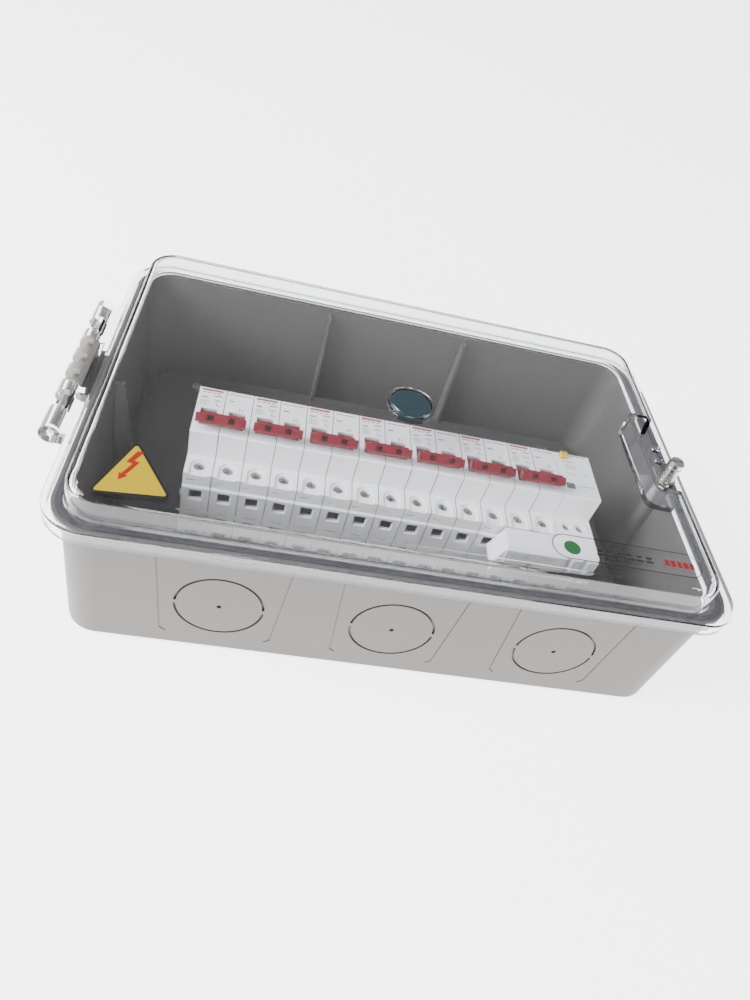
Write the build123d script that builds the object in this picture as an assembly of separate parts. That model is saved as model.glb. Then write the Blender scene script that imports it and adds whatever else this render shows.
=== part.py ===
from build123d import *
import math
import os

os.makedirs("parts", exist_ok=True)

# ---------------------------------------------------------------------------
# Plastic modular distribution box with a clear hinged lid.
# Millimetres. Origin at the centre of the back face, X toward the lock,
# Y toward the far long side, Z out of the wall toward the lid.
# ---------------------------------------------------------------------------

# base box
BASE_L = 390.0
BASE_W = 259.0
BASE_H = 96.0
DRAFT = 1.0
CORNER_R = 20.0
WALL = 3.0
RIM_H = 97.4
RIM_OUT = 4.2
GASKET_W = 3.0

# knock-outs in the long front wall
KNOCKOUT_X = (-104.0, 0.0, 106.0)
KNOCKOUT_Z = 44.5
KNOCKOUT_R = 26.4
PANEL_TOP_HALF = 37.5
PANEL_FOOT_HALF = 32.5

# lid
LID_L = 408.0
LID_W = 275.0
LID_R = 27.0
SKIRT_Z = 92.6
FLANGE_Z = 98.9
FLANGE_TOP = 101.9
DOME_L = 381.4
DOME_W = 260.2
DOME_X = -2.5
DOME_R = 20.0
DOME_TOP = 118.2
DOME_DRAFT = 2.2
LID_T = 3.0

# lid hinge on the short left side
HINGE_X = -212.5
HINGE_Z = 99.5
BARREL_R = 6.3
PIN_R = 2.0
KNUCKLE_HALF = 23.6
BARREL_START = 24.0
BARREL_END = 67.0

# lock pocket on the short right side
POCKET_X = 168.5
POCKET_HALF = 39.0
LOCK_X = 189.0
LOCK_Y = -10.5

# mounting plate and rail
PLATE_L = 362.0
PLATE_W = 232.0
PLATE_Z = 16.5
PLATE_TOP = 19.0
RAIL_Y = -10.5
RAIL_HALF = 143.0
RAIL_TOP = 26.5

# modular devices: 18 mm poles, 45 mm raised face
POLE = 18.0
POLE_GAP = 0.4
BREAKERS = 7
ROW_X0 = -139.5
FACE_Z = 90.0
SHOULDER_Z = 69.6
LEDGE_Z = 58.9
FACE_HALF = 22.5
SHOULDER_HALF = 40.0
BODY_HALF = 41.5
SCREW_Y = 31.5

# breaker handle
HANDLE_Y = -5.6
HANDLE_Z = 82.0
HUB_R = 8.4
HANDLE_REACH = 19.0
HANDLE_OFF_DEG = -38.0

# residual current add-on at the right end of the row
RCD_X0 = 112.5
RCD_X1 = 139.5


def slab(x0, x1, y0, y1, z0, z1):
    """Box from two opposite corners."""
    place = Pos((x0 + x1) / 2, (y0 + y1) / 2, (z0 + z1) / 2)
    return place * Box(x1 - x0, y1 - y0, z1 - z0)


def tapered(l0, w0, r0, z0, l1, w1, r1, z1, cx=0.0):
    """Rounded rectangular block whose top and bottom differ in size."""
    low = Pos(cx, 0, z0) * RectangleRounded(l0, w0, r0)
    high = Pos(cx, 0, z1) * RectangleRounded(l1, w1, r1)
    return loft([low, high])


def rounded_slab(length, width, radius, z0, z1, cx=0.0):
    return extrude(Pos(cx, 0, z0) * RectangleRounded(length, width, radius), z1 - z0)


def rod(x, y, z0, z1, r):
    return Pos(x, y, (z0 + z1) / 2) * Cylinder(r, z1 - z0)


def rod_x(x0, x1, y, z, r):
    return Pos((x0 + x1) / 2, y, z) * Rot(0, 90, 0) * Cylinder(r, x1 - x0)


def rod_y(x, y0, y1, z, r):
    return Pos(x, (y0 + y1) / 2, z) * Rot(90, 0, 0) * Cylinder(r, y1 - y0)


def prism_x(points, x0, x1):
    """Closed outline in the YZ plane pushed along X."""
    wire = Polyline(*[(0, y, z) for y, z in points], close=True)
    return extrude(Pos(x0, 0, 0) * make_face(wire), amount=x1 - x0, dir=(1, 0, 0))


def prism_y(points, y0, y1):
    """Closed outline in the XZ plane pushed along Y."""
    wire = Polyline(*[(x, 0, z) for x, z in points], close=True)
    return extrude(Pos(0, y0, 0) * make_face(wire), amount=y1 - y0, dir=(0, 1, 0))


def save(name, shapes):
    items = shapes if isinstance(shapes, list) else [shapes]
    solids = []
    for item in items:
        solids.extend(item.solids())
    shape = solids[0] if len(solids) == 1 else Compound(children=solids)
    export_step(shape, "parts/" + name + ".step")
    print(name, len(solids), round(sum(s.volume for s in solids)))


def cross_screw(x, y, z_seat, head_r, head_h, shank_r, length, recess=1.2):
    """Cheese-head screw pointing down with a cross recess in its head."""
    head = rod(x, y, z_seat, z_seat + head_h, head_r)
    screw = head + rod(x, y, z_seat - length, z_seat, shank_r)
    top = z_seat + head_h
    arm = head_r * 0.62
    screw -= slab(x - arm, x + arm, y - 0.45, y + 0.45, top - recess, top + 1)
    screw -= slab(x - 0.45, x + 0.45, y - arm, y + arm, top - recess, top + 1)
    return screw


# ---------------------------------------------------------------------------
# base shell
# ---------------------------------------------------------------------------
FOOT_L = BASE_L - 2 * DRAFT
FOOT_W = BASE_W - 2 * DRAFT

base = tapered(FOOT_L, FOOT_W, CORNER_R - 1, 0, BASE_L, BASE_W, CORNER_R, BASE_H)
foot_edges = base.edges().group_by(Axis.Z)[0]
base = fillet(foot_edges, 3.5)
rim = rounded_slab(BASE_L + 2 * RIM_OUT, BASE_W + 2 * RIM_OUT, CORNER_R + RIM_OUT, 93.8, RIM_H)
base = base + rim
inside = tapered(
    FOOT_L - 2 * WALL, FOOT_W - 2 * WALL, CORNER_R - 4, WALL,
    BASE_L - 2 * WALL, BASE_W - 2 * WALL, CORNER_R - 3, RIM_H + 1,
)
base -= inside

# gasket channel along the rim
seat_l = BASE_L + 1.0
seat_w = BASE_W + 1.0
channel = rounded_slab(seat_l + 3.4, seat_w + 3.4, CORNER_R + 2.2, 94.6, RIM_H + 1)
channel -= rounded_slab(seat_l - 3.4, seat_w - 3.4, CORNER_R - 1.2, 94.6, RIM_H + 1)

# plate bosses, wall bosses and lock boss
PLATE_BOSSES = [(sx * 150.0, sy * 98.0) for sx in (-1, 1) for sy in (-1, 1)]
WALL_HOLES = [(sx * 125.0, sy * 80.0) for sx in (-1, 1) for sy in (-1, 1)]
for bx, by in PLATE_BOSSES:
    base += rod(bx, by, WALL - 0.5, PLATE_Z, 5.5)
for wx, wy in WALL_HOLES:
    base += rod(wx, wy, WALL - 0.5, 6.0, 7.0)

# stiffening gussets on the inside of the walls
for gx in (-56.0, 54.0):
    for side in (-1, 1):
        outer = side * 128.4
        base += prism_x([
            (outer, WALL - 0.5),
            (side * 112.0, WALL - 0.5),
            (side * 119.5, 94.0),
            (outer, 94.0),
        ], gx - 1.1, gx + 1.1)
base += prism_y([
    (-193.0, WALL - 0.5),
    (-176.5, WALL - 0.5),
    (-185.5, 90.0),
    (-193.0, 90.0),
], -1.4, 1.4)

# lock boss on the right wall, open at the top for the threaded insert
lock_boss = rod(LOCK_X, LOCK_Y, WALL - 0.5, RIM_H, 6.0)
lock_boss += slab(LOCK_X, 193.4, LOCK_Y - 6.0, LOCK_Y + 6.0, WALL - 0.5, 95.0)
base += lock_boss & slab(180.0, 193.4, -20.0, 0.0, 0.0, 100.0)
base -= channel
base -= rod(LOCK_X, LOCK_Y, 83.0, RIM_H + 1, 3.8)

# holes for plate screws and for the wall screws
for bx, by in PLATE_BOSSES:
    base -= rod(bx, by, 6.0, PLATE_Z + 1, 1.55)
for wx, wy in WALL_HOLES:
    base -= rod(wx, wy, -1, 7.0, 2.75)
    base -= rod(wx, wy, 4.0, 7.0, 5.2)

# hinge bracket and knuckle on the left wall
base += prism_y([
    (-193.2, 80.0),
    (-203.0, 84.0),
    (-217.0, 92.0),
    (-218.2, 97.0),
    (-212.0, 101.0),
    (-207.2, 99.0),
    (-207.2, 91.2),
    (-193.2, 91.2),
], -KNUCKLE_HALF, KNUCKLE_HALF)
base += rod_y(HINGE_X, -KNUCKLE_HALF, KNUCKLE_HALF, HINGE_Z, BARREL_R)
for wy in (-16.6, 0.0, 16.6):
    base -= slab(-222.0, HINGE_X + 1.5, wy - 4.8, wy + 4.8, 93.5, 108.0)
    base -= slab(HINGE_X - 3.0, HINGE_X + 3.2, wy - 4.8, wy + 4.8, 95.0, 108.0)
base -= rod_y(HINGE_X, -KNUCKLE_HALF - 1, KNUCKLE_HALF + 1, HINGE_Z, PIN_R + 0.02)

# knock-outs, breakable at two ties, with the pads they sit in
lean = math.atan2(DRAFT, BASE_H)
front = Plane(
    origin=(0, -FOOT_W / 2, 0),
    x_dir=(1, 0, 0),
    z_dir=(0, -math.cos(lean), -math.sin(lean)),
)
for kx in KNOCKOUT_X:
    ring = Circle(KNOCKOUT_R) - Circle(KNOCKOUT_R - 1.5)
    ring -= Rectangle(60, 3.0)
    base -= extrude(front * (Pos(kx, KNOCKOUT_Z, 0.5) * ring), amount=-2.5)
    base -= extrude(front * (Pos(kx, KNOCKOUT_Z, 0.5) * Circle(1.5)), amount=-2.0)
    for side in (-1, 1):
        mark = Polyline(
            (kx + side * PANEL_TOP_HALF, 92.5),
            (kx + side * (PANEL_TOP_HALF + 0.8), 92.5),
            (kx + side * (PANEL_FOOT_HALF + 0.8), 16.2),
            (kx + side * (PANEL_FOOT_HALF - 3.0), 13.4),
            (kx + side * (PANEL_FOOT_HALF - 3.4), 14.2),
            (kx + side * PANEL_FOOT_HALF, 16.8),
            close=True,
        )
        base -= extrude(front * (Pos(0, 0, 0.5) * make_face(mark)), amount=-0.95)
save("base_shell", base)

# ---------------------------------------------------------------------------
# gasket in the rim channel
# ---------------------------------------------------------------------------
gasket = rounded_slab(seat_l + GASKET_W, seat_w + GASKET_W, CORNER_R + 2, 94.65, 98.5)
gasket -= rounded_slab(seat_l - GASKET_W, seat_w - GASKET_W, CORNER_R - 1, 94.0, 99.0)
save("lid_gasket", gasket)

# ---------------------------------------------------------------------------
# threaded brass insert in the lock boss
# ---------------------------------------------------------------------------
insert = rod(LOCK_X, LOCK_Y, 83.2, 96.8, 3.75) - rod(LOCK_X, LOCK_Y, 82.0, 98.0, 2.45)
for z in (85.5, 89.0, 92.5):
    band = rod(LOCK_X, LOCK_Y, z, z + 0.9, 4.2) - rod(LOCK_X, LOCK_Y, z - 1, z + 2, 3.4)
    insert -= band
save("lock_insert", insert)

# ---------------------------------------------------------------------------
# mounting plate, its screws, the rail and its screws
# ---------------------------------------------------------------------------
plate = rounded_slab(PLATE_L, PLATE_W, 14.0, PLATE_Z + 0.02, PLATE_TOP)
RAIL_SCREW_X = (-121.5, -31.5, 31.5, 121.5)
for bx, by in PLATE_BOSSES:
    plate -= rod(bx, by, PLATE_Z - 1, PLATE_TOP + 1, 2.2)
for wx, wy in WALL_HOLES:
    plate -= rod(wx, wy, PLATE_Z - 1, PLATE_TOP + 1, 7.0)
for rx in RAIL_SCREW_X:
    plate -= rod(rx, RAIL_Y, PLATE_Z - 1, PLATE_TOP + 1, 2.04)
plate -= slab(-190.0, -172.0, -3.0, 3.0, PLATE_Z - 1, PLATE_TOP + 1)
plate -= slab(LOCK_X - 8.0, 192.0, LOCK_Y - 8.0, LOCK_Y + 8.0, PLATE_Z - 1, PLATE_TOP + 1)
for gx in (-56.0, 54.0):
    for side in (-1, 1):
        plate -= slab(gx - 2, gx + 2, side * 115 - 5, side * 115 + 5, PLATE_Z - 1, PLATE_TOP + 1)
save("mounting_plate", plate)
save("plate_screws", [cross_screw(bx, by, PLATE_TOP + 0.02, 4.0, 2.4, 1.5, 11.0) for bx, by in PLATE_BOSSES])

rail_outline = [
    (-17.5, 25.5), (-13.5, 25.5), (-13.5, PLATE_TOP), (13.5, PLATE_TOP),
    (13.5, 25.5), (17.5, 25.5), (17.5, 26.5), (12.5, 26.5),
    (12.5, 20.0), (-12.5, 20.0), (-12.5, 26.5), (-17.5, 26.5),
]
rail = prism_x([(y + RAIL_Y, z + 0.02) for y, z in rail_outline], -RAIL_HALF, RAIL_HALF)
for rx in RAIL_SCREW_X:
    rail -= rod(rx, RAIL_Y, 18.0, 21.0, 2.2)
for k in range(-5, 6):
    sx = k * 24.0
    if min(abs(sx - rx) for rx in RAIL_SCREW_X) > 12.5:
        rail -= slab(sx - 7.5, sx + 7.5, RAIL_Y - 3.1, RAIL_Y + 3.1, 18.0, 21.0)
save("din_rail", rail)
save("rail_screws", [cross_screw(rx, RAIL_Y, 20.05, 4.0, 2.4, 2.0, 6.5) for rx in RAIL_SCREW_X])

# ---------------------------------------------------------------------------
# two-pole breaker, built once around the rail centre and then repeated
# ---------------------------------------------------------------------------
outline = [
    (-BODY_HALF, 22.0), (-18.3, 22.0), (-18.3, 26.9), (17.9, 26.9),
    (17.9, 25.1), (15.6, 24.3), (15.6, 22.0), (BODY_HALF, 22.0),
    (BODY_HALF, LEDGE_Z), (SHOULDER_HALF, LEDGE_Z + 0.9), (SHOULDER_HALF, SHOULDER_Z),
    (FACE_HALF, SHOULDER_Z), (FACE_HALF, FACE_Z), (-FACE_HALF, FACE_Z),
    (-FACE_HALF, SHOULDER_Z), (-SHOULDER_HALF, SHOULDER_Z),
    (-SHOULDER_HALF, LEDGE_Z + 0.9), (-BODY_HALF, LEDGE_Z),
]
chamber_outline = [
    (-26.0, 30.0), (26.0, 30.0), (26.0, 66.5), (20.8, 66.5),
    (20.8, 88.0), (-20.8, 88.0), (-20.8, 66.5), (-26.0, 66.5),
]
half = POLE / 2 - POLE_GAP / 2

pole = prism_x(outline, -half, half)
rims = pole.faces().filter_by(Axis.Z).group_by(Axis.Z)[-1].edges().filter_by(Axis.X)
pole = fillet(rims, 1.2)
pole -= prism_x(chamber_outline, -half + 1.6, half - 1.6)
pole -= slab(-5.4, 5.4, -15.4, 0.9, 86.0, 92.0)
pole -= slab(-6.8, -2.8, 11.5, 12.9, 89.3, 92.0)
for side in (-1, 1):
    # cage pocket with its square wire entry
    pole -= slab(-5.4, 5.4, side * 33.0 - 5.8, side * 33.0 + 5.8, 44.4, 59.6)
    pole -= slab(-3.9, 3.9, side * 40.0 - 3.0, side * 40.0 + 3.0, 48.4, 56.4)
    lip_face = Plane(origin=(0, side * (BODY_HALF + 0.2), 52.4), x_dir=(1, 0, 0), z_dir=(0, -side, 0))
    pole -= loft([lip_face * Rectangle(9.2, 9.4), lip_face.offset(0.9) * Rectangle(7.8, 8.0)])
    # screw well with its arched recess
    pole -= rod(0, side * SCREW_Y, 64.4, SHOULDER_Z + 1, 3.7)
    pole -= rod(0, side * SCREW_Y, 58.0, 65.0, 2.35)
    arch = rod(0, side * SCREW_Y, SHOULDER_Z - 1.0, SHOULDER_Z + 1, 5.7)
    arch += slab(-5.7, 5.7, side * 36.5 - 5.0, side * 36.5 + 5.0, SHOULDER_Z - 1.0, SHOULDER_Z + 1)
    pole -= arch
    pole -= slab(-6.6, -0.8, side * 39.0 - 2.0, side * 39.0 + 2.0, 63.3, 64.9)
    pole -= slab(-half - 1, half + 1, side * 42.5 - 1.35, side * 42.5 + 1.35, 34.0, 34.6)
# seats for the through rivets
RIVETS = [(-36.5, 28.5), (36.5, 28.5)]
for ry, rz in RIVETS:
    pole -= rod_x(-half - 1, half + 1, ry, rz, 1.85)
# clip way under the body
pole -= slab(-4.4, 4.4, -BODY_HALF - 1, -18.0, 21.0, 25.6)
# pivot bearings for the handle hub
pole -= rod_x(-half - 1, half + 1, HANDLE_Y, HANDLE_Z, 1.56)

# contact arm pivot, arc chute, coil and fixed contact inside each pole
ARM_Y = 4.0
ARM_Z = 58.0
pole -= rod_x(-half - 1, half + 1, ARM_Y, ARM_Z, 1.26)

chute_plates = []
for k in range(7):
    z = 32.5 + k * 2.1
    chute_plates.append(slab(-5.8, 5.8, -24.0, -9.0, z, z + 0.9) - slab(-1.0, 1.0, -12.0, -8.0, z - 1, z + 2))
coil_former = rod_y(0, 9.0, 25.0, 39.0, 3.0)
coil_turns = []
for k in range(6):
    y = 10.2 + k * 2.4
    coil_turns.append(rod_y(0, y, y + 1.7, 39.0, 5.4) - rod_y(0, y - 1, y + 3, 39.0, 3.1))
bimetal = slab(-3.2, 3.2, 21.0, 21.9, 48.0, 66.0)
fixed_contact = slab(-3.6, 3.6, -25.6, -16.2, 50.0, 51.4) + slab(-1.6, 1.6, -19.4, -16.2, 51.4, 54.9)


def contact_arm():
    """Rocking contact on the arm pivot, held clear of the fixed contact."""
    arm = rod_x(-3.0, 3.0, ARM_Y, ARM_Z, 3.2)
    arm += slab(-1.2, 1.2, -17.8, 4.0, 56.9, 59.1)
    arm += slab(-1.6, 1.6, -19.4, -16.2, 55.4, 59.1)
    arm += slab(-1.2, 1.2, 4.0, 12.0, 57.2, 58.8)
    arm -= rod_x(-4.0, 4.0, ARM_Y, ARM_Z, 1.26)
    return Pos(0, ARM_Y, ARM_Z) * Rot(-16, 0, 0) * Pos(0, -ARM_Y, -ARM_Z) * arm


def handle_pair():
    """Two handle drums joined by the tie bar, upright over a pivot on the X axis."""
    body = None
    for px in (-POLE / 2, POLE / 2):
        drum = rod_x(px - 4.9, px + 4.9, 0, 0, HUB_R)
        drum -= slab(px - 5, px + 5, -HUB_R - 1, HUB_R + 1, -HUB_R - 1, -4.6)
        drum += slab(px - 3.9, px + 3.9, -1.8, 1.8, 6.5, HANDLE_REACH - 2.0)
        drum -= rod_x(px - 6, px + 6, 0, 0, 1.56)
        body = drum if body is None else body + drum
    z0 = HANDLE_REACH - 3.0
    z1 = HANDLE_REACH + 3.0
    bar = slab(-12.8, 12.8, -3.7, 3.7, z0, z1)
    bar = fillet(bar.edges().filter_by(Axis.X), 1.1)
    ends = slab(-15.6, 15.6, -2.8, 2.8, z0 + 0.7, z1 - 0.7)
    ends = fillet(ends.edges().filter_by(Axis.X), 0.9)
    bar += ends
    for px in (-6.5, 6.5):
        bar -= slab(px - 2.1, px + 2.1, -1.7, 1.7, z1 - 3.6, z1 + 1)
    return body + bar


handles = Pos(0, HANDLE_Y, HANDLE_Z) * Rot(-HANDLE_OFF_DEG, 0, 0) * handle_pair()

cage = slab(-4.9, 4.9, 28.0, 38.2, 45.0, 59.0) - slab(-4.0, 4.0, 27.0, 39.5, 47.4, 56.6)
cage -= rod(0, SCREW_Y, 56.0, 60.0, 2.05)
pressure = slab(-3.7, 3.7, 28.3, 37.9, 53.2, 54.2)
clamp_screw = cross_screw(0, SCREW_Y, 64.6, 3.3, 2.6, 2.0, 10.2, 1.3)
cage_back = Rot(0, 0, 180) * cage
pressure_back = Rot(0, 0, 180) * pressure
clamp_screw_back = Rot(0, 0, 180) * clamp_screw

clip = slab(-4.0, 4.0, -44.5, -15.7, 22.3, 24.9)
clip -= slab(-2.0, 2.0, -43.0, -41.9 - 0.2, 21.0, 26.0)

pole_centres = []
breaker_centres = []
for n in range(BREAKERS):
    centre = ROW_X0 + (n + 0.5) * 2 * POLE
    breaker_centres.append(centre)
    pole_centres.append(centre - POLE / 2)
    pole_centres.append(centre + POLE / 2)

for n, centre in enumerate(breaker_centres):
    poles = [Pos(centre + s * POLE / 2, RAIL_Y, 0) * pole for s in (-1, 1)]
    save("breaker_%d_poles" % (n + 1), poles)
    save("breaker_%d_handle" % (n + 1), Pos(centre, RAIL_Y, 0) * handles)
    arms = [Pos(centre + s * POLE / 2, RAIL_Y, 0) * contact_arm() for s in (-1, 1)]
    save("breaker_%d_contact_arms" % (n + 1), arms)

pivot = rod_x(-POLE + 1.8, POLE - 1.8, HANDLE_Y, HANDLE_Z, 1.5)
arm_pivot = rod_x(-POLE + 1.8, POLE - 1.8, ARM_Y, ARM_Z, 1.2)
save("handle_pivots", [Pos(c, RAIL_Y, 0) * pivot for c in breaker_centres])
save("arm_pivots", [Pos(c, RAIL_Y, 0) * arm_pivot for c in breaker_centres])
rivet = rod_x(-POLE + 0.3, POLE - 0.3, 0, 0, 1.8)
save("pole_rivets", [Pos(c, RAIL_Y + y, z) * rivet for c in breaker_centres for y, z in RIVETS])
save("terminal_cages", [Pos(p, RAIL_Y, 0) * c for p in pole_centres for c in (cage, cage_back)])
save("pressure_plates", [Pos(p, RAIL_Y, 0) * c for p in pole_centres for c in (pressure, pressure_back)])
save("terminal_screws", [Pos(p, RAIL_Y, 0) * c for p in pole_centres for c in (clamp_screw, clamp_screw_back)])
save("arc_chute_plates", [Pos(p, RAIL_Y, 0) * c for p in pole_centres for c in chute_plates])
save("coil_cores", [Pos(p, RAIL_Y, 0) * coil_former for p in pole_centres])
save("trip_coils", [Pos(p, RAIL_Y, 0) * c for p in pole_centres for c in coil_turns])
save("bimetal_strips", [Pos(p, RAIL_Y, 0) * bimetal for p in pole_centres])
save("fixed_contacts", [Pos(p, RAIL_Y, 0) * fixed_contact for p in pole_centres])
save("rail_clips", [Pos(p, RAIL_Y, 0) * clip for p in pole_centres])

# ---------------------------------------------------------------------------
# residual current add-on with the cover that wraps under the last breaker
# ---------------------------------------------------------------------------
rcd_x = (RCD_X0 + RCD_X1) / 2
rcd = prism_x([(y + RAIL_Y, z) for y, z in outline], RCD_X0 + 0.1, RCD_X1)
rims = rcd.faces().filter_by(Axis.Z).group_by(Axis.Z)[-1].edges().filter_by(Axis.X)
rcd = fillet(rims, 1.2)
rcd -= prism_x([(y + RAIL_Y, z) for y, z in chamber_outline], RCD_X0 + 1.7, RCD_X1 - 1.6)

COVER_X0 = 74.5
COVER_Y0 = -70.5
COVER_Y1 = -52.4
COVER_Z0 = 49.0
cover_side = [
    (COVER_Y1, COVER_Z0), (COVER_Y0 + 1.5, COVER_Z0), (COVER_Y0, COVER_Z0 + 3.0),
    (COVER_Y0, 67.0), (COVER_Y0 + 2.5, 69.5), (COVER_Y1, 69.5),
]
cover = prism_x(cover_side, COVER_X0, RCD_X1)
cover += slab(RCD_X0 + 0.1, RCD_X1, -54.0, -50.0, COVER_Z0, 69.5)
cover += prism_y([
    (COVER_X0 + 0.5, 68.5), (COVER_X0 - 6.5, 51.0), (COVER_X0 - 6.5, COVER_Z0), (COVER_X0 + 0.5, COVER_Z0),
], COVER_Y0 + 1.0, COVER_Y1)
cover -= prism_x([
    (COVER_Y1 - 1.8, COVER_Z0 + 1.8), (COVER_Y0 + 3.0, COVER_Z0 + 1.8), (COVER_Y0 + 1.8, COVER_Z0 + 4.0),
    (COVER_Y0 + 1.8, 66.0), (COVER_Y0 + 3.4, 67.7), (COVER_Y1 - 1.8, 67.7),
], COVER_X0 + 2.0, RCD_X1 - 2.0)
cover -= slab(RCD_X0 - 30, RCD_X0 + 0.1, -52.6, -49.0, COVER_Z0 - 1, 71.0)
rcd += cover
# slanted louvres, two upright flutes and the cover screw seat
for k in range(12):
    rcd -= Pos(79.5 + k * 2.6, COVER_Y0, 62.0) * Rot(0, 20, 0) * Box(1.0, 5.0, 5.4)
rcd -= rod_y(92.8, COVER_Y0 - 1, COVER_Y0 + 3.0, 55.6, 2.2)
for fx in (119.5, 130.5):
    rcd -= rod(fx, COVER_Y0 - 2.6, COVER_Z0 - 1, 70.0, 3.6)
# earth leakage tester openings and screw wells
TEST_X = 119.3
TEST_Y = 8.0
RESET_X = 119.3
RESET_Y = -22.0
rcd -= slab(TEST_X - 3.0, TEST_X + 3.0, TEST_Y - 3.0, TEST_Y + 3.0, 82.0, 92.0)
rcd -= slab(RESET_X - 3.3, RESET_X + 3.3, RESET_Y - 2.8, RESET_Y + 2.8, 86.0, 92.0)
for sx in (121.0, 131.0):
    rcd -= rod(sx, RAIL_Y - SCREW_Y, 64.6, SHOULDER_Z + 1, 3.2)
    rcd -= rod(sx, RAIL_Y - SCREW_Y, 58.0, 65.0, 1.85)
    rcd -= rod(sx, RAIL_Y - SCREW_Y, SHOULDER_Z - 0.5, SHOULDER_Z + 1, 4.2)
rcd -= slab(rcd_x - 4.4, rcd_x + 4.4, RAIL_Y - BODY_HALF + 0.2, RAIL_Y - 18.0, 21.0, 25.6)
rcd_front_slot = slab(rcd_x - 4.4, rcd_x + 4.4, RAIL_Y - BODY_HALF - 1, RAIL_Y - BODY_HALF + 1, 21.0, 25.6)
rcd -= rcd_front_slot
save("rcd_housing", rcd)
save("rcd_rail_clip", Pos(rcd_x, RAIL_Y, 0) * clip)
save("rcd_screws", [cross_screw(sx, RAIL_Y - SCREW_Y, 64.8, 2.9, 2.2, 1.8, 5.8, 1.1) for sx in (121.0, 131.0)])
cover_screw = rod_y(92.8, COVER_Y0 + 0.2, COVER_Y0 + 1.75, 55.6, 2.1)
cover_screw -= slab(91.2, 94.4, COVER_Y0 - 1, COVER_Y0 + 0.9, 55.2, 56.0)
save("rcd_cover_screw", cover_screw)

# push buttons with a foot flange that keeps them in the housing
test_button = slab(TEST_X - 2.6, TEST_X + 2.6, TEST_Y - 2.6, TEST_Y + 2.6, 85.0, 92.8)
test_button = fillet(test_button.faces().sort_by(Axis.Z)[-1].edges(), 0.6)
test_button += slab(TEST_X - 4.0, TEST_X + 4.0, TEST_Y - 2.6, TEST_Y + 1.6, 86.2, 87.6)
save("rcd_test_button", test_button)
reset_button = slab(RESET_X - 2.9, RESET_X + 2.9, RESET_Y - 2.4, RESET_Y + 2.4, 85.0, 90.6)
reset_button = fillet(reset_button.faces().sort_by(Axis.Z)[-1].edges(), 0.5)
reset_button += slab(RESET_X - 4.2, RESET_X + 4.2, RESET_Y - 2.4, RESET_Y + 2.4, 86.2, 87.6)
save("rcd_reset_button", reset_button)

core = Pos(rcd_x + 2.0, RAIL_Y, 50.0) * Rot(90, 0, 0) * (Cylinder(9.5, 12.0) - Cylinder(5.2, 14.0))
save("rcd_sensing_ring", core)
board = slab(RCD_X0 + 4.0, RCD_X0 + 5.6, RAIL_Y - 18.0, RAIL_Y + 18.0, 36.0, 78.0)
save("rcd_circuit_board", board)

# ---------------------------------------------------------------------------
# clear lid
# ---------------------------------------------------------------------------
lid = rounded_slab(LID_L, LID_W, LID_R, SKIRT_Z, FLANGE_TOP)
lid = fillet(lid.edges().group_by(Axis.Z)[-1], 1.6)
lid -= rounded_slab(LID_L - 5.6, LID_W - 5.6, LID_R - 2.8, SKIRT_Z - 1, FLANGE_Z)

dome = tapered(
    DOME_L, DOME_W, DOME_R, FLANGE_Z,
    DOME_L - 2 * DOME_DRAFT, DOME_W - 2 * DOME_DRAFT, DOME_R - 1, DOME_TOP, DOME_X,
)
dome = fillet(dome.edges().group_by(Axis.Z)[-1], 4.5)
notch_tool = slab(POCKET_X, 210, -POCKET_HALF, POCKET_HALF, FLANGE_TOP, DOME_TOP + 5)
notch_tool = fillet(notch_tool.edges().filter_by(Axis.Z).group_by(Axis.X)[0], 6.0)
dome -= notch_tool
hollow = tapered(
    DOME_L - 2 * LID_T + 0.4, DOME_W - 2 * LID_T + 0.4, DOME_R - 3, FLANGE_Z - 1,
    DOME_L - 2 * LID_T - 2 * DOME_DRAFT, DOME_W - 2 * LID_T - 2 * DOME_DRAFT, DOME_R - 4,
    DOME_TOP - LID_T, DOME_X,
)
hollow = fillet(hollow.edges().group_by(Axis.Z)[-1], 2.5)
guard = slab(POCKET_X - LID_T, 215, -POCKET_HALF - LID_T, POCKET_HALF + LID_T, FLANGE_Z - 2, DOME_TOP + 5)
guard = fillet(guard.edges().filter_by(Axis.Z).group_by(Axis.X)[0], 7.0)
hollow -= guard
lid = lid + dome
lid -= hollow

# finger tab on the front skirt
lid += slab(-113.0, -89.0, -138.2, -136.5, 93.2, 98.9)

# central cup for the badge
lid += rod(DOME_X, 0, 112.6, 119.6, 15.8)
lid -= rod(DOME_X, 0, 115.2, 121.0, 14.2)

# wire-seal posts and lock hole in the pocket floor
for px, py in ((191.5, 22.0), (190.0, 8.5)):
    post = rod(px, py, FLANGE_TOP - 0.5, 104.8, 2.9)
    lid += post
    lid -= rod(px, py, 102.6, 106.0, 1.3)
lid += rod(LOCK_X, LOCK_Y, FLANGE_TOP - 0.5, 103.4, 7.2)
lid -= rod(LOCK_X, LOCK_Y, FLANGE_Z - 1, 105.0, 3.0)

# hinge barrels
for side in (-1, 1):
    y0, y1 = sorted((side * BARREL_START, side * BARREL_END))
    barrel = rod_y(HINGE_X, y0, y1, HINGE_Z, BARREL_R)
    barrel += slab(HINGE_X, -203.0, y0, y1, 97.0, FLANGE_TOP)
    barrel += prism_y([
        (HINGE_X + 2.0, HINGE_Z - 5.9), (-203.5, 93.0), (-203.5, 98.0), (HINGE_X + 2.0, 98.0),
    ], y0, y1)
    inner, outer = side * 33.0, side * 47.0
    w0, w1 = sorted((inner, outer))
    barrel -= slab(-222.0, HINGE_X + 2.8, w0, w1, HINGE_Z - 3.2, 108.0)
    lid += barrel
lid -= rod_y(HINGE_X, -BARREL_END + 4.0, BARREL_END - 4.0, HINGE_Z, PIN_R + 0.05)
save("lid", lid)

pin = rod_y(HINGE_X, -BARREL_END + 4.6, BARREL_END - 4.6, HINGE_Z, PIN_R)
pin = chamfer(pin.edges(), 0.4)
save("hinge_pin", pin)

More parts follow.
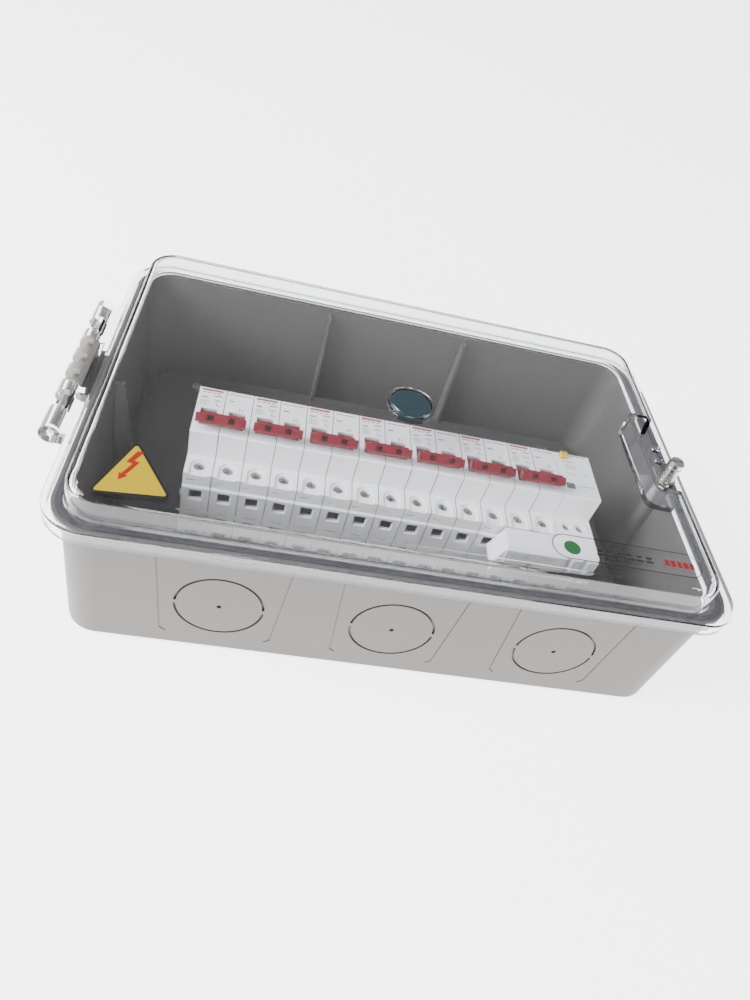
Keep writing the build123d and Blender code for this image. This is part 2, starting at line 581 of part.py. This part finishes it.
badge = rod(DOME_X, 0, 115.25, 119.0, 13.9)
badge = fillet(badge.edges().group_by(Axis.Z)[-1], 1.4)
save("lid_badge", badge)

# ---------------------------------------------------------------------------
# lock screw: nickel knob, shank through the pocket, retaining washer below
# ---------------------------------------------------------------------------
knob = rod(LOCK_X, LOCK_Y, 104.2, 120.5, 5.5)
knob = chamfer(knob.edges().group_by(Axis.Z)[-1], 0.9)
knob -= rod_x(LOCK_X - 8, LOCK_X + 8, LOCK_Y, 112.0, 1.1)
knob -= slab(LOCK_X - 6, LOCK_X + 6, LOCK_Y - 0.6, LOCK_Y + 0.6, 119.2, 121.0)
groove = rod(LOCK_X, LOCK_Y, 115.6, 116.4, 6.0) - rod(LOCK_X, LOCK_Y, 115.0, 117.0, 5.0)
knob -= groove
shank = rod(LOCK_X, LOCK_Y, 97.6, 104.4, 2.95)
shank += rod(LOCK_X, LOCK_Y, 90.0, 97.8, 2.1)
lock = knob + shank
save("lock_screw", lock)
collar = rod(LOCK_X, LOCK_Y, 103.5, 104.15, 6.4) - rod(LOCK_X, LOCK_Y, 103.0, 105.0, 3.0)
save("lock_washer", collar)
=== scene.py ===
import bpy
import bmesh
import math
from mathutils import Matrix, Vector


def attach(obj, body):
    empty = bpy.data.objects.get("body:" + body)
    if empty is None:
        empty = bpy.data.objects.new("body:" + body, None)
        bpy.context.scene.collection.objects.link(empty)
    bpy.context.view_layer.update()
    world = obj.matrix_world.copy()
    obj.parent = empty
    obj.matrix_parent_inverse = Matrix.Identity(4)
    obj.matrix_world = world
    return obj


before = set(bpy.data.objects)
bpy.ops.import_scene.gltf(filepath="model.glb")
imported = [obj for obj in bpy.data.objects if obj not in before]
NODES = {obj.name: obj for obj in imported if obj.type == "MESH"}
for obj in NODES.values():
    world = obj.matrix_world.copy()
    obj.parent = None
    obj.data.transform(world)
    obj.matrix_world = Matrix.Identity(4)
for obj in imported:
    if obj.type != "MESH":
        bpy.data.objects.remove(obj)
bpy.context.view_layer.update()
MM = 0.001

# ---------------------------------------------------------------------------
# places on the object, millimetres in the shared frame
# ---------------------------------------------------------------------------
LID_TOP = 118.2
FACE_Z = 90.0
RAIL_Y = -10.5
POLE = 18.0
ROW_X0 = -139.5
BREAKERS = 7
BADGE_X = -2.5
ADD_ON_X = 126.0
HANDLE_Y = RAIL_Y - 5.6
HANDLE_Z = 82.0
HANDLE_LEAN = math.radians(38.0)
KNUCKLE_SIDE = -206.5
# corners of the hollow cover behind the louvres, where painted shade goes
COVER_LOW = (76.4, -68.8, 50.6)
COVER_HIGH = (137.6, -54.1, 67.8)


# ---------------------------------------------------------------------------
# material building
# ---------------------------------------------------------------------------
def new_material(name):
    mat = bpy.data.materials.new(name)
    mat.use_nodes = True
    tree = mat.node_tree
    tree.nodes.clear()
    out = tree.nodes.new("ShaderNodeOutputMaterial")
    bsdf = tree.nodes.new("ShaderNodeBsdfPrincipled")
    tree.links.new(bsdf.outputs["BSDF"], out.inputs["Surface"])
    return mat, tree, bsdf, out


def object_coords(tree, stretch=(1, 1, 1)):
    tex = tree.nodes.new("ShaderNodeTexCoord")
    mapping = tree.nodes.new("ShaderNodeMapping")
    mapping.inputs["Scale"].default_value = stretch
    tree.links.new(tex.outputs["Object"], mapping.inputs["Vector"])
    return mapping.outputs["Vector"]


def noise(tree, vector, scale, detail=3.0, rough=0.55):
    node = tree.nodes.new("ShaderNodeTexNoise")
    node.inputs["Scale"].default_value = scale
    node.inputs["Detail"].default_value = detail
    node.inputs["Roughness"].default_value = rough
    tree.links.new(vector, node.inputs["Vector"])
    return node.outputs["Fac"]


def ramp(tree, fac, stops):
    node = tree.nodes.new("ShaderNodeValToRGB")
    band = node.color_ramp
    band.elements[0].position, band.elements[0].color = stops[0][0], (*stops[0][1], 1)
    band.elements[1].position, band.elements[1].color = stops[1][0], (*stops[1][1], 1)
    for pos, col in stops[2:]:
        band.elements.new(pos).color = (*col, 1)
    tree.links.new(fac, node.inputs["Fac"])
    return node.outputs["Color"]


def spread(tree, fac, low, high, src_low=0.3, src_high=0.7):
    node = tree.nodes.new("ShaderNodeMapRange")
    node.inputs["From Min"].default_value = src_low
    node.inputs["From Max"].default_value = src_high
    node.inputs["To Min"].default_value = low
    node.inputs["To Max"].default_value = high
    tree.links.new(fac, node.inputs["Value"])
    return node.outputs["Result"]


def bump(tree, bsdf, height, strength, distance):
    node = tree.nodes.new("ShaderNodeBump")
    node.inputs["Strength"].default_value = strength
    node.inputs["Distance"].default_value = distance
    tree.links.new(height, node.inputs["Height"])
    tree.links.new(node.outputs["Normal"], bsdf.inputs["Normal"])


def shade(c, k):
    return tuple(min(1.0, v * k) for v in c)


def plastic(name, colour, rough=0.4, vary=0.05, grain=900.0, grain_depth=0.00002, blotch=14.0, coat=0.0):
    """Moulded plastic: slow tone drift, fine spark texture and uneven gloss."""
    mat, tree, bsdf, _ = new_material(name)
    vec = object_coords(tree)
    drift = noise(tree, vec, blotch, 4.0)
    tree.links.new(
        ramp(tree, drift, [(0.3, shade(colour, 1 - vary)), (0.7, shade(colour, 1 + vary))]),
        bsdf.inputs["Base Color"],
    )
    fine = noise(tree, vec, grain, 2.0)
    tree.links.new(spread(tree, drift, rough - 0.05, rough + 0.07), bsdf.inputs["Roughness"])
    bump(tree, bsdf, fine, 0.35, grain_depth)
    bsdf.inputs["Coat Weight"].default_value = coat
    bsdf.inputs["Coat Roughness"].default_value = 0.12
    return mat


def axis_value(tree, axis):
    """One object coordinate in metres."""
    tex = tree.nodes.new("ShaderNodeTexCoord")
    split = tree.nodes.new("ShaderNodeSeparateXYZ")
    tree.links.new(tex.outputs["Object"], split.inputs["Vector"])
    return split.outputs[axis]


def calc(tree, operation, first, second):
    """One math node on a node output and an output or number."""
    node = tree.nodes.new("ShaderNodeMath")
    node.operation = operation
    tree.links.new(first, node.inputs[0])
    if isinstance(second, (int, float)):
        node.inputs[1].default_value = second
    else:
        tree.links.new(second, node.inputs[1])
    return node.outputs["Value"]


def recolour(mat, mask, colour):
    """The base colour replaced by another one where the mask is 1."""
    tree = mat.node_tree
    bsdf = next(n for n in tree.nodes if n.type == "BSDF_PRINCIPLED")
    link = bsdf.inputs["Base Color"].links[0]
    light = link.from_socket
    tree.links.remove(link)
    mix = tree.nodes.new("ShaderNodeMix")
    mix.data_type = "RGBA"
    tree.links.new(mask, mix.inputs[0])
    tree.links.new(light, mix.inputs[6])
    mix.inputs[7].default_value = (*colour, 1)
    tree.links.new(mix.outputs[2], bsdf.inputs["Base Color"])


def painted_seam_shade(mat):
    """Painted shade: dark side faces in the narrow gap between two poles, where shade falls."""
    tree = mat.node_tree
    along = calc(tree, "ADD", axis_value(tree, "X"), -ROW_X0 * MM)
    steps = calc(tree, "MULTIPLY", along, 1.0 / (POLE * MM))
    place = calc(tree, "ABSOLUTE", calc(tree, "ADD", calc(tree, "FRACT", steps, 0.0), -0.5), 0.0)
    recolour(mat, calc(tree, "GREATER_THAN", place, 0.5 - 0.25 / POLE), (0.12, 0.115, 0.11))
    return mat


def painted_knuckle_light(mat):
    """Painted light: a paler tone on the hinge knuckle outside the left wall, for the light that falls on it."""
    mask = calc(mat.node_tree, "LESS_THAN", axis_value(mat.node_tree, "X"), KNUCKLE_SIDE * MM)
    recolour(mat, mask, (0.34, 0.325, 0.31))
    return mat


def painted_louvre_shade(mat, low, high):
    """Painted shade: dark inner walls behind the louvres, where shade falls in the hollow cover, between two
    corners in millimetres.
    """
    tree = mat.node_tree
    mask = None
    for axis, a, b in zip("XYZ", low, high):
        value = axis_value(tree, axis)
        both = calc(
            tree, "MULTIPLY",
            calc(tree, "GREATER_THAN", value, a * MM), calc(tree, "LESS_THAN", value, b * MM),
        )
        mask = both if mask is None else calc(tree, "MULTIPLY", mask, both)
    recolour(mat, mask, (0.02, 0.02, 0.02))
    return mat


def metal(name, colour, rough=0.3, stretch=(60, 60, 2600), depth=0.000015, spots=0.06):
    """Worked metal: fine drawn lines, cloudy tone and small dull spots."""
    mat, tree, bsdf, _ = new_material(name)
    bsdf.inputs["Metallic"].default_value = 1.0
    lines = noise(tree, object_coords(tree, stretch), 1.0, 4.0, 0.6)
    cloud = noise(tree, object_coords(tree), 70.0, 4.0, 0.6)
    tree.links.new(
        ramp(tree, cloud, [(0.3, shade(colour, 1 - spots * 2)), (0.65, shade(colour, 1 + spots))]),
        bsdf.inputs["Base Color"],
    )
    tree.links.new(spread(tree, lines, rough - 0.08, rough + 0.12), bsdf.inputs["Roughness"])
    bump(tree, bsdf, lines, 0.4, depth)
    return mat


def clear_polycarbonate(name):
    """Clear moulded sheet that lets lamps reach the inside."""
    mat, tree, bsdf, out = new_material(name)
    vec = object_coords(tree)
    haze = noise(tree, vec, 9.0, 3.0)
    ripple = noise(tree, vec, 22.0, 2.0)
    bsdf.inputs["Base Color"].default_value = (0.955, 0.965, 0.99, 1)
    bsdf.inputs["Transmission Weight"].default_value = 1.0
    bsdf.inputs["IOR"].default_value = 1.5
    tree.links.new(spread(tree, haze, 0.012, 0.045), bsdf.inputs["Roughness"])
    bump(tree, bsdf, ripple, 0.08, 0.0002)
    clear = tree.nodes.new("ShaderNodeBsdfTransparent")
    clear.inputs["Color"].default_value = (0.84, 0.85, 0.88, 1)
    path = tree.nodes.new("ShaderNodeLightPath")
    mix = tree.nodes.new("ShaderNodeMixShader")
    tree.links.new(path.outputs["Is Shadow Ray"], mix.inputs["Fac"])
    tree.links.new(bsdf.outputs["BSDF"], mix.inputs[1])
    tree.links.new(clear.outputs["BSDF"], mix.inputs[2])
    tree.links.new(mix.outputs["Shader"], out.inputs["Surface"])
    return mat


def rubber(name, colour):
    mat, tree, bsdf, _ = new_material(name)
    vec = object_coords(tree)
    bloom = noise(tree, vec, 60.0, 4.0)
    tree.links.new(
        ramp(tree, bloom, [(0.35, colour), (0.8, shade(colour, 1.9))]), bsdf.inputs["Base Color"]
    )
    tree.links.new(spread(tree, bloom, 0.62, 0.85), bsdf.inputs["Roughness"])
    bump(tree, bsdf, noise(tree, vec, 1400.0, 2.0), 0.4, 0.00002)
    return mat


def resin_badge(name):
    """Deep teal dome with faint turned rings under the gloss."""
    mat, tree, bsdf, _ = new_material(name)
    tex = tree.nodes.new("ShaderNodeTexCoord")
    shift = tree.nodes.new("ShaderNodeMapping")
    shift.inputs["Location"].default_value = (-BADGE_X * MM, 0, 0)
    tree.links.new(tex.outputs["Object"], shift.inputs["Vector"])
    rings = tree.nodes.new("ShaderNodeTexWave")
    rings.wave_type = "RINGS"
    rings.rings_direction = "Z"
    rings.inputs["Scale"].default_value = 190.0
    rings.inputs["Distortion"].default_value = 1.6
    rings.inputs["Detail"].default_value = 2.0
    tree.links.new(shift.outputs["Vector"], rings.inputs["Vector"])
    drift = noise(tree, shift.outputs["Vector"], 60.0, 3.0)
    mixed = tree.nodes.new("ShaderNodeMath")
    mixed.operation = "MULTIPLY"
    tree.links.new(rings.outputs["Fac"], mixed.inputs[0])
    tree.links.new(drift, mixed.inputs[1])
    tree.links.new(
        ramp(tree, mixed.outputs["Value"], [(0.05, (0.0, 0.010, 0.018)), (0.55, (0.0, 0.042, 0.062))]),
        bsdf.inputs["Base Color"],
    )
    tree.links.new(spread(tree, drift, 0.12, 0.26), bsdf.inputs["Roughness"])
    bsdf.inputs["Coat Weight"].default_value = 0.8
    bsdf.inputs["Coat Roughness"].default_value = 0.04
    return mat


def ink(name, colour, rough=0.45):
    """Printed or painted mark with slightly uneven cover."""
    mat, tree, bsdf, _ = new_material(name)
    cover = noise(tree, object_coords(tree), 700.0, 3.0)
    tree.links.new(
        ramp(tree, cover, [(0.3, shade(colour, 0.9)), (0.75, shade(colour, 1.12))]),
        bsdf.inputs["Base Color"],
    )
    tree.links.new(spread(tree, cover, rough - 0.06, rough + 0.1), bsdf.inputs["Roughness"])
    return mat


DEVICE_WHITE = (0.86, 0.85, 0.83)
M = {
    # base plastic, with painted light on the hinge knuckle
    "base": painted_knuckle_light(
        plastic("base_grey_plastic", (0.090, 0.084, 0.079), 0.42, 0.035, 1100.0, 0.00003, 9.0),
    ),
    "lid": clear_polycarbonate("clear_polycarbonate"),
    "gasket": rubber("gasket_rubber", (0.022, 0.022, 0.024)),
    "plate": plastic("plate_grey_plastic", (0.045, 0.044, 0.044), 0.45, 0.04, 1000.0, 0.00002, 12.0),
    "zinc": metal("zinc_plated_steel", (0.62, 0.63, 0.64), 0.34),
    "brass": metal("brass_insert", (0.70, 0.50, 0.21), 0.3),
    "copper": metal("copper_parts", (0.78, 0.38, 0.22), 0.3),
    # breaker plastic, with painted shade in the seams between poles
    "white": painted_seam_shade(
        plastic("breaker_white_plastic", DEVICE_WHITE, 0.33, 0.02, 1300.0, 0.00001, 30.0),
    ),
    # add-on plastic, with painted shade on the inner walls behind the louvres
    "cover": painted_louvre_shade(
        plastic("add_on_white_plastic", DEVICE_WHITE, 0.33, 0.02, 1300.0, 0.00001, 30.0),
        COVER_LOW, COVER_HIGH,
    ),
    "screw": metal("screw_steel", (0.30, 0.31, 0.33), 0.24),
    "black": plastic("clip_black_plastic", (0.03, 0.03, 0.032), 0.4, 0.15, 900.0),
    "pin": metal("hinge_pin_steel", (0.52, 0.49, 0.43), 0.33, (2600, 60, 2600)),
    "badge": resin_badge("badge_teal_resin"),
    "nickel": metal("nickel_turned", (0.64, 0.63, 0.57), 0.24, (60, 60, 3400), 0.00002, 0.1),
    "red": plastic("handle_red_plastic", (0.145, 0.0, 0.008), 0.32, 0.1, 1200.0, 0.00001, 60.0),
    "yellow": plastic("button_yellow_plastic", (0.60, 0.40, 0.0), 0.32, 0.05, 1200.0),
    "grey": plastic("button_grey_plastic", (0.10, 0.12, 0.13), 0.4, 0.08, 1200.0),
    "board": plastic("board_green_laminate", (0.02, 0.16, 0.06), 0.35, 0.15, 500.0),
    "core": plastic("core_dark_coating", (0.06, 0.06, 0.065), 0.5, 0.2, 600.0),
    "label_yellow": ink("label_yellow", (0.52, 0.37, 0.0)),
    "label_black": ink("label_black", (0.012, 0.012, 0.014)),
    "label_orange": ink("label_orange", (0.36, 0.012, 0.0)),
    "label_green": ink("label_green", (0.02, 0.13, 0.04)),
    "print_red": ink("print_red", (0.30, 0.003, 0.012)),
    "print_grey": ink("print_grey", (0.05, 0.05, 0.055)),
    "print_line": ink("print_line", (0.02, 0.018, 0.016)),
    # dark plastic for the painted shade in the tie bar windows
    "shade_plate": plastic("tie_bar_painted_shade", (0.02, 0.002, 0.004), 0.5, 0.2, 900.0),
    "window": ink("indicator_window", (0.03, 0.05, 0.035), 0.2),
}

NODE_MATERIAL = {
    "base_shell": "base",
    "lid": "lid",
    "lid_gasket": "gasket",
    "mounting_plate": "plate",
    "lock_insert": "brass",
    "trip_coils": "copper",
    "fixed_contacts": "copper",
    "rcd_housing": "cover",
    "terminal_screws": "screw",
    "rcd_screws": "screw",
    "rcd_cover_screw": "screw",
    "rail_clips": "black",
    "rcd_rail_clip": "black",
    "hinge_pin": "pin",
    "lid_badge": "badge",
    "lock_screw": "nickel",
    "lock_washer": "nickel",
    "rcd_test_button": "yellow",
    "rcd_reset_button": "grey",
    "rcd_circuit_board": "board",
    "rcd_sensing_ring": "core",
}
for n in range(1, BREAKERS + 1):
    NODE_MATERIAL["breaker_%d_poles" % n] = "white"
    NODE_MATERIAL["breaker_%d_handle" % n] = "red"
    NODE_MATERIAL["breaker_%d_contact_arms" % n] = "copper"

for name, obj in NODES.items():
    key = NODE_MATERIAL.get(name, "zinc")
    if not obj.material_slots:
        obj.data.materials.append(M[key])
    for slot in obj.material_slots:
        slot.material = M[key]


def finish_mesh(name, bm, material, body):
    """The built mesh as an object with its material, riding on a body."""
    mesh = bpy.data.meshes.new(name)
    bm.to_mesh(mesh)
    bm.free()
    obj = bpy.data.objects.new(name, mesh)
    bpy.context.collection.objects.link(obj)
    mesh.materials.append(M[material])
    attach(obj, body)


# ---------------------------------------------------------------------------
# painted shade: dark plates in the windows of each tie bar
# ---------------------------------------------------------------------------
def tie_bar_shade(number):
    """Painted shade: two dark plates in the windows of the tie bar of one breaker."""
    centre = ROW_X0 + (number - 0.5) * 2 * POLE
    bm = bmesh.new()
    turn = Matrix.Rotation(HANDLE_LEAN, 4, "X")
    for px in (-6.5, 6.5):
        earlier = bm.verts[:]
        bmesh.ops.create_cube(bm, size=1.0)
        fresh = [v for v in bm.verts if v not in earlier]
        bmesh.ops.scale(bm, verts=fresh, vec=(4.1 * MM, 3.3 * MM, 0.5 * MM))
        bmesh.ops.translate(bm, verts=fresh, vec=(px * MM, 0, 18.7 * MM))
    bmesh.ops.transform(bm, matrix=turn, verts=bm.verts)
    bmesh.ops.translate(bm, verts=bm.verts, vec=(centre * MM, HANDLE_Y * MM, HANDLE_Z * MM))
    finish_mesh("bar_sockets_%d" % number, bm, "shade_plate", "handle_%d" % number)


for n in range(1, BREAKERS + 1):
    tie_bar_shade(n)

# ---------------------------------------------------------------------------
# thin plates: labels and prints
# ---------------------------------------------------------------------------
def plate_mesh(name, outlines, z0, z1, material, body):
    """Closed flat prisms, one for each outline, millimetres."""
    bm = bmesh.new()
    for outline in outlines:
        low = [bm.verts.new((x * MM, y * MM, z0 * MM)) for x, y in outline]
        high = [bm.verts.new((x * MM, y * MM, z1 * MM)) for x, y in outline]
        bm.faces.new(list(reversed(low)))
        bm.faces.new(high)
        count = len(outline)
        for i in range(count):
            j = (i + 1) % count
            bm.faces.new((low[i], low[j], high[j], high[i]))
    bmesh.ops.recalc_face_normals(bm, faces=bm.faces)
    finish_mesh(name, bm, material, body)


def ring_mesh(name, outer, inner, z0, z1, material, body):
    """Closed flat band between two outlines with the same number of points."""
    bm = bmesh.new()
    loops = []
    for outline, z in ((outer, z0), (outer, z1), (inner, z1), (inner, z0)):
        loops.append([bm.verts.new((x * MM, y * MM, z * MM)) for x, y in outline])
    count = len(outer)
    for k in range(4):
        a, b = loops[k], loops[(k + 1) % 4]
        for i in range(count):
            j = (i + 1) % count
            bm.faces.new((a[i], a[j], b[j], b[i]))
    bmesh.ops.recalc_face_normals(bm, faces=bm.faces)
    finish_mesh(name, bm, material, body)


def rounded_polygon(corners, radius, steps=6):
    """Corner points replaced by arcs of the given radius."""
    points = []
    count = len(corners)
    for i in range(count):
        prev = Vector(corners[i - 1])
        here = Vector(corners[i])
        nxt = Vector(corners[(i + 1) % count])
        a = (prev - here).normalized()
        b = (nxt - here).normalized()
        half = a.angle(b) / 2
        cut = radius / math.tan(half)
        middle = here + (a + b).normalized() * (radius / math.sin(half))
        start = here + a * cut
        end = here + b * cut
        a0 = math.atan2(start.y - middle.y, start.x - middle.x)
        a1 = math.atan2(end.y - middle.y, end.x - middle.x)
        turn = (a1 - a0 + math.pi) % (2 * math.pi) - math.pi
        for s in range(steps + 1):
            t = a0 + turn * s / steps
            points.append((middle.x + radius * math.cos(t), middle.y + radius * math.sin(t)))
    return points


def inset_corners(corners, distance):
    """Each side of a convex outline moved inwards."""
    result = []
    count = len(corners)
    cx = sum(c[0] for c in corners) / count
    cy = sum(c[1] for c in corners) / count
    lines = []
    for i in range(count):
        p = Vector(corners[i])
        q = Vector(corners[(i + 1) % count])
        d = (q - p).normalized()
        normal = Vector((-d.y, d.x))
        if normal.dot(Vector((cx, cy)) - p) < 0:
            normal = -normal
        lines.append((p + normal * distance, d))
    for i in range(count):
        p, d = lines[i - 1]
        q, e = lines[i]
        det = d.x * -e.y + e.x * d.y
        diff = q - p
        t = (diff.x * -e.y + e.x * diff.y) / det
        result.append(tuple(p + d * t))
    return result


def rect(x0, x1, y0, y1):
    return [(x0, y0), (x1, y0), (x1, y1), (x0, y1)]


def disc(cx, cy, r, steps=40):
    return [
        (cx + r * math.cos(2 * math.pi * k / steps), cy + r * math.sin(2 * math.pi * k / steps))
        for k in range(steps)
    ]


def stadium(x0, x1, cy, r, steps=18):
    points = []
    for k in range(steps + 1):
        t = -math.pi / 2 + math.pi * k / steps
        points.append((x1 - r + r * math.cos(t), cy + r * math.sin(t)))
    for k in range(steps + 1):
        t = math.pi / 2 + math.pi * k / steps
        points.append((x0 + r + r * math.cos(t), cy + r * math.sin(t)))
    return points


# caution plate on the lid: a plain triangle with a zigzag
TRIANGLE = [(-178.0, -123.0), (-136.5, -119.2), (-161.6, -79.6)]
Z = LID_TOP
plate_mesh(
    "caution_border", [rounded_polygon(TRIANGLE, 2.2)],
    Z + 0.01, Z + 0.14, "label_black", "lid",
)
inner_triangle = inset_corners(TRIANGLE, 1.5)
plate_mesh(
    "caution_field", [rounded_polygon(inner_triangle, 1.1)],
    Z + 0.14, Z + 0.2, "label_yellow", "lid",
)
bolt = [
    (-159.8, -88.0), (-163.9, -97.4), (-160.6, -98.4), (-164.8, -106.6),
    (-166.0, -105.9), (-165.2, -111.4), (-160.9, -107.6), (-162.4, -107.4),
    (-157.2, -96.6), (-160.2, -95.8), (-156.4, -88.6),
]
plate_mesh("caution_zigzag", [bolt], Z + 0.2, Z + 0.25, "label_orange", "lid")

# outlined data plate on the lid: plain outline, plain disc, plain bars
ring_mesh(
    "data_outline", stadium(77.2, 173.9, -106.8, 9.4), stadium(77.8, 173.3, -106.8, 8.8),
    Z + 0.01, Z + 0.08, "print_line", "lid",
)
plate_mesh(
    "data_disc", [disc(89.8, -107.3, 5.2)],
    Z + 0.01, Z + 0.08, "label_green", "lid",
)
bars = []
for k in range(6):
    x = 105.0 + k * 6.4
    bars.append(rect(x, x + 4.6, -110.0, -108.4))
    bars.append(rect(x + 0.6, x + 4.0, -107.0, -105.4))
plate_mesh("data_bars_dark", bars, Z + 0.01, Z + 0.08, "print_line", "lid")
bars = [rect(149.6 + k * 4.1, 152.5 + k * 4.1, -109.6, -104.9) for k in range(5)]
plate_mesh("data_bars_red", bars, Z + 0.01, Z + 0.08, "print_red", "lid")

# printed marks on the device faces
red_marks = []
grey_marks = []
window_marks = []
for b in range(BREAKERS):
    for p in range(2):
        cx = ROW_X0 + (2 * b + p + 0.5) * POLE
        top = RAIL_Y + 22.5
        if p == 0:
            red_marks.append(rect(cx - 7.4, cx + 6.6, top - 3.7, top - 1.9))
            for k in range(4):
                grey_marks.append(rect(cx - 6.6 + k * 3.2, cx - 4.4 + k * 3.2, top - 5.9, top - 5.0))
            grey_marks.append(rect(cx + 1.6, cx + 6.6, top - 8.6, top - 7.7))
            for k in range(5):
                line = top - 13.4 - k * 1.3
                grey_marks.append(rect(cx - 7.0, cx - 2.0 + (k % 2), line, line + 0.3))
            for k in range(2):
                line = top - 12.4 - k * 1.2
                grey_marks.append(rect(cx + 1.6, cx + 5.4 + k, line, line + 0.4))
            grey_marks.append(rect(cx + 3.6, cx + 4.1, top - 18.4, top - 15.6))
            grey_marks.append(rect(cx + 4.1, cx + 6.6, top - 18.4, top - 18.0))
        else:
            red_marks.append(rect(cx - 7.4, cx + 7.4, top - 3.7, top - 3.0))
            for k in range(2):
                grey_marks.append(rect(cx + 0.6 + k * 2.0, cx + 1.1 + k * 2.0, top - 19.7, top - 16.9))
        window_marks.append(rect(cx - 6.7, cx - 2.9, top - 10.9, top - 9.7))
for k in range(5):
    grey_marks.append(rect(ADD_ON_X - 1.0 + k * 2.4, ADD_ON_X + 0.8 + k * 2.4, 9.4, 10.2))
    grey_marks.append(rect(ADD_ON_X - 8.6 + k * 2.0, ADD_ON_X - 7.3 + k * 2.0, 2.2, 3.2))
for k in range(3):
    grey_marks.append(rect(ADD_ON_X - 7.6, ADD_ON_X + 2.6 - k, -0.6 - 1.9 * k, -0.2 - 1.9 * k))
for k in range(4):
    grey_marks.append(rect(ADD_ON_X - 7.0 + k * 1.8, ADD_ON_X - 6.6 + k * 1.8, -9.6 - 0.7 * k, -7.4 - 0.7 * k))
    grey_marks.append(rect(ADD_ON_X + 3.0 + k * 1.6, ADD_ON_X + 4.2 + k * 1.6, -11.4 + 0.9 * k, -10.9 + 0.9 * k))
for k in range(5):
    grey_marks.append(rect(ADD_ON_X + 0.5 + k * 2.1, ADD_ON_X + 1.9 + k * 2.1, -21.6, -20.8))
F = FACE_Z
plate_mesh("face_print_red", red_marks, F + 0.005, F + 0.05, "print_red", "base")
plate_mesh("face_print_grey", grey_marks, F + 0.005, F + 0.05, "print_grey", "base")
plate_mesh("face_windows", window_marks, F - 0.68, F - 0.4, "window", "base")

# ---------------------------------------------------------------------------
# stage, light and camera
# ---------------------------------------------------------------------------
bpy.ops.mesh.primitive_plane_add(size=60, location=(0, 0, -0.0004))
floor = bpy.context.object
floor.name = "studio_floor"
floor_mat, floor_tree, floor_bsdf, _ = new_material("studio_floor_white")
floor_bsdf.inputs["Base Color"].default_value = (0.93, 0.93, 0.93, 1)
floor_bsdf.inputs["Roughness"].default_value = 0.9
floor_bsdf.inputs["Emission Color"].default_value = (1.0, 1.0, 1.0, 1)
floor_bsdf.inputs["Emission Strength"].default_value = 3.5
floor.data.materials.append(floor_mat)

world = bpy.data.worlds.new("studio_world")
bpy.context.scene.world = world
world.use_nodes = True
world.node_tree.nodes["Background"].inputs["Color"].default_value = (1.0, 1.0, 1.0, 1)
world.node_tree.nodes["Background"].inputs["Strength"].default_value = 0.5


def area(name, loc, target, size, power, colour=(1, 1, 1)):
    data = bpy.data.lights.new(name, "AREA")
    data.shape = "RECTANGLE"
    data.size, data.size_y = size
    data.energy = power
    data.color = colour
    lamp = bpy.data.objects.new(name, data)
    bpy.context.collection.objects.link(lamp)
    lamp.location = loc
    lamp.rotation_euler = (Vector(target) - Vector(loc)).to_track_quat("-Z", "Y").to_euler()
    return lamp


area("key_softbox", (-1.6, -0.35, 1.05), (0, 0, 0.05), (0.8, 0.8), 72.0)
area("front_fill", (0.2, -1.8, 0.7), (0, 0, 0.06), (1.2, 0.6), 26.0)

camera_data = bpy.data.cameras.new("camera")
camera = bpy.data.objects.new("camera", camera_data)
bpy.context.collection.objects.link(camera)
camera_data.sensor_fit = "AUTO"
camera_data.sensor_width = 36.0
camera_data.lens = 26.863
camera_data.clip_start = 0.01
camera_data.clip_end = 30.0
RIGHT = Vector((0.97051694, -0.01178567, 0.24074461))
FORWARD = Vector((0.17938765, 0.70242541, -0.68878053))
UP = RIGHT.cross(FORWARD)
turn = Matrix((RIGHT, UP, -FORWARD)).transposed().to_4x4()
camera.matrix_world = Matrix.Translation(Vector((-0.103787, -0.390868, 0.408183))) @ turn
bpy.context.scene.camera = camera
